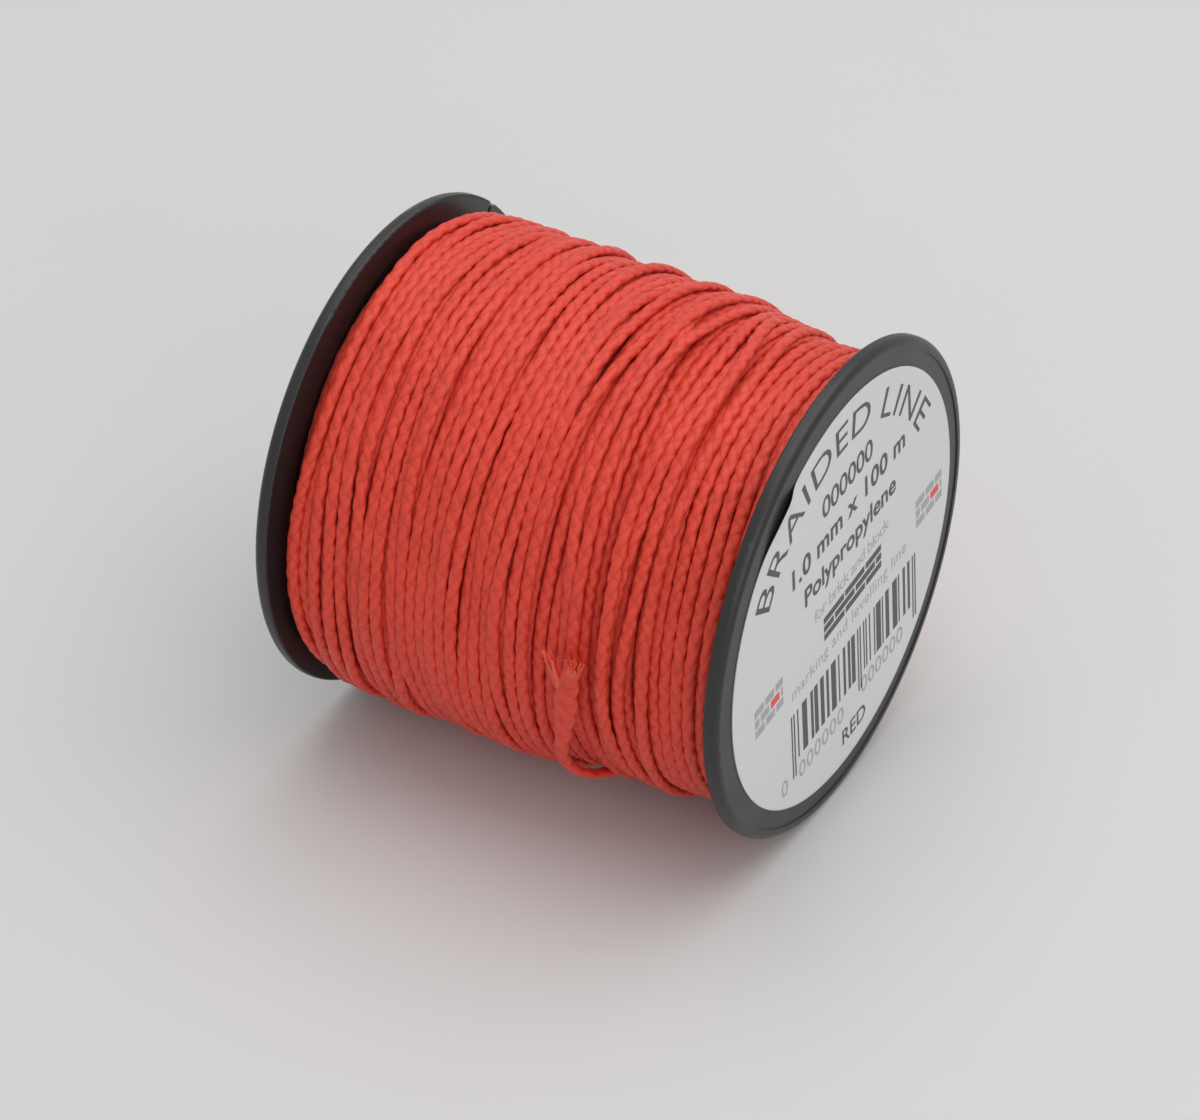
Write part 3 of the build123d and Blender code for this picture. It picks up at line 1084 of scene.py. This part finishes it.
class SPOOL_OT_add_label(Operator):
    """Add the round end label with its lifted edge and plain generic print"""
    bl_idname = "line_spool.add_label"
    bl_label = "Add Label"

    def execute(self, context):
        settings = context.scene.spool_label
        points, faces = label_disc(settings)
        label = mesh_object("end_label_film", points, faces, label_film_material(settings))
        ride_and_slot(label, "label", "end_label")

        # places are across and up from the label's middle, before the label is turned
        panel = brick_panel(0.0062, 0.0040, 0.00035)
        grey_bricks = panel[:5] + panel[6:]
        red_brick = panel[5:6]
        left_panel, right_panel = (-0.0172, -0.0026), (0.0197, -0.0029)
        dark = [
            bent(text_shape("BRAIDED LINE", 0.0035, 0.0447, 0.0, 1.28), 0.0212, math.radians(86.5)),
            placed(text_shape("000000", 0.00275, 0.0114, 0.00004), 0.0014, 0.0149),
            placed(text_shape("1.0 mm x 100 m", 0.0026, 0.0256, 0.00009), 0.0016, 0.0105),
            placed(text_shape("Polypropylene", 0.0025, 0.0208, 0.00008), 0.0017, 0.0059),
            placed(bars_shape(brick_panel(0.0132, 0.0033, 0.0003)), 0.0018, -0.0019),
            placed(bars_shape(stripe_pattern(0.0290, -0.0035, 0.0036, -0.0057, 5)), 0.0018, -0.0117),
            placed(text_shape("RED", 0.0021, 0.0054, 0.00003), 0.0012, -0.0212),
        ]
        pale = [
            placed(text_shape("for brick and block", 0.0017, 0.0171), 0.0018, 0.0015),
            placed(text_shape("marking and levelling line", 0.0017, 0.0264), 0.0010, -0.0052),
            placed(text_shape("0", 0.0022, 0.0014, 0.00002), -0.0146, -0.0170),
            placed(text_shape("000000", 0.0022, 0.0103, 0.00002), -0.0062, -0.0174),
            placed(text_shape("000000", 0.0022, 0.0099, 0.00002), 0.0080, -0.0172),
            placed(bars_shape(grey_bricks), *left_panel),
            placed(bars_shape(grey_bricks), *right_panel),
        ]
        accents = [
            placed(bars_shape(red_brick), *left_panel),
            placed(bars_shape(red_brick), *right_panel),
        ]
        print_on_label("label_print_dark", dark,
                       ink_material("Dark grey ink", settings.ink_colour), settings)
        print_on_label("label_print_pale", pale,
                       ink_material("Pale grey ink", settings.pale_ink_colour), settings)
        print_on_label("label_print_red", accents,
                       ink_material("Red ink", settings.accent_colour), settings)
        return {"FINISHED"}


# ---------------------------------------------------------------------------
# Plastic parts
# ---------------------------------------------------------------------------
class SPOOL_OT_finish_plastic(Operator):
    """Give the flanges and the barrel their satin black moulded finish"""
    bl_idname = "line_spool.finish_plastic"
    bl_label = "Finish Plastic"

    def execute(self, context):
        material = black_plastic_material(context.scene.spool_plastic)
        for node in ("rear_flange", "front_flange", "core_barrel"):
            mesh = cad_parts[node].data
            mesh.materials.clear()
            mesh.materials.append(material)
        return {"FINISHED"}


# ---------------------------------------------------------------------------
# Stage
# ---------------------------------------------------------------------------
def aim(thing, target):
    """Turns a camera or lamp at its place so that it looks at the target, level with the floor."""
    direction = Vector(target) - thing.location
    thing.rotation_euler = direction.to_track_quat("-Z", "Y").to_euler()


def add_area_lamp(name, place, target, size, power):
    """A soft round lamp that shines from its place at its target."""
    lamp = bpy.data.lights.new(name, "AREA")
    lamp.shape = "DISK"
    lamp.size = size
    lamp.energy = power
    holder = bpy.data.objects.new(name, lamp)
    bpy.context.scene.collection.objects.link(holder)
    holder.location = place
    aim(holder, target)


CAMERA_TARGET = (-0.00162, 0.0, 0.0210)  # the point that the camera looks at


class SPOOL_OT_add_stage(Operator):
    """Add the plain floor, the soft studio light and the camera"""
    bl_idname = "line_spool.add_stage"
    bl_label = "Add Stage"

    def execute(self, context):
        settings = context.scene.spool_stage
        material, tree, shader = new_material("Plain pale floor")
        mottle = add_node(tree, "ShaderNodeTexNoise")
        mottle.inputs["Scale"].default_value = 40.0
        link(tree, object_point(tree), mottle.inputs["Vector"])
        darker = tuple(0.985 * channel for channel in settings.floor_colour[:3]) + (1.0,)
        link(tree, mix_colours(tree, mottle.outputs["Fac"], tuple(settings.floor_colour), darker),
             shader.inputs["Base Color"])
        shader.inputs["Roughness"].default_value = 0.75
        reach = 3.0  # so that the floor's edges stay out of every view
        corners = np.array([(-reach, -reach, 0), (reach, -reach, 0), (reach, reach, 0),
                            (-reach, reach, 0)])
        floor = mesh_object("floor", corners, [np.array([[0, 1, 2, 3]])], material)

        world = bpy.data.worlds.new("Soft studio")
        world.use_nodes = True
        sky = world.node_tree.nodes["Background"]
        sky.inputs["Color"].default_value = (1.0, 1.0, 1.0, 1.0)
        sky.inputs["Strength"].default_value = 0.60
        context.scene.world = world
        middle = (0.0, 0.0, AXIS_HEIGHT)
        add_area_lamp("key_lamp", (0.06, 0.12, 0.62), middle, size=0.85, power=2.4)
        add_area_lamp("fill_lamp", (0.50, -0.40, 0.35), middle, size=0.5, power=0.75)
        context.scene.view_settings.view_transform = "Standard"

        camera = bpy.data.cameras.new("camera")
        camera.lens = settings.lens
        camera.sensor_width = 36.0
        camera.sensor_fit = "HORIZONTAL"
        camera.clip_start = 0.01
        camera.clip_end = 10.0
        holder = bpy.data.objects.new("camera", camera)
        context.scene.collection.objects.link(holder)
        target = Vector(CAMERA_TARGET)
        back = Vector((math.sin(settings.azimuth) * math.cos(settings.elevation),
                       -math.cos(settings.azimuth) * math.cos(settings.elevation),
                       math.sin(settings.elevation)))
        holder.location = target + settings.distance * back
        aim(holder, target)
        context.scene.camera = holder
        return {"FINISHED"}


class SPOOL_PT_sidebar(Panel):
    """Line spool tools in the 3D view's sidebar"""
    bl_idname = "SPOOL_PT_sidebar"
    bl_label = "Line Spool"
    bl_space_type = "VIEW_3D"
    bl_region_type = "UI"
    bl_category = "Line Spool"

    def draw(self, context):
        layout = self.layout
        for operator in (SPOOL_OT_finish_plastic, SPOOL_OT_wind_line, SPOOL_OT_add_tail,
                         SPOOL_OT_add_label, SPOOL_OT_add_stage):
            layout.operator(operator.bl_idname)
        scene = context.scene
        for group in (scene.spool_line, scene.spool_plastic, scene.spool_label, scene.spool_stage):
            box = layout.box()
            for setting in group.bl_rna.properties.keys():
                if setting not in {"rna_type", "name"}:
                    box.prop(group, setting)


CLASSES = (
    LineSettings, PlasticSettings, LabelSettings, StageSettings,
    SPOOL_OT_finish_plastic, SPOOL_OT_wind_line, SPOOL_OT_add_tail, SPOOL_OT_add_label,
    SPOOL_OT_add_stage, SPOOL_PT_sidebar,
)


def register():
    for cls in CLASSES:
        bpy.utils.register_class(cls)
    bpy.types.Scene.spool_line = PointerProperty(type=LineSettings)
    bpy.types.Scene.spool_plastic = PointerProperty(type=PlasticSettings)
    bpy.types.Scene.spool_label = PointerProperty(type=LabelSettings)
    bpy.types.Scene.spool_stage = PointerProperty(type=StageSettings)


def unregister():
    del bpy.types.Scene.spool_stage
    del bpy.types.Scene.spool_label
    del bpy.types.Scene.spool_plastic
    del bpy.types.Scene.spool_line
    for cls in reversed(CLASSES):
        bpy.utils.unregister_class(cls)


def main():
    register()
    bpy.ops.line_spool.add_stage()
    bpy.ops.line_spool.add_tail()
    bpy.ops.line_spool.wind_line()
    bpy.ops.line_spool.finish_plastic()
    bpy.ops.line_spool.add_label()


if __name__ == "__main__":
    main()
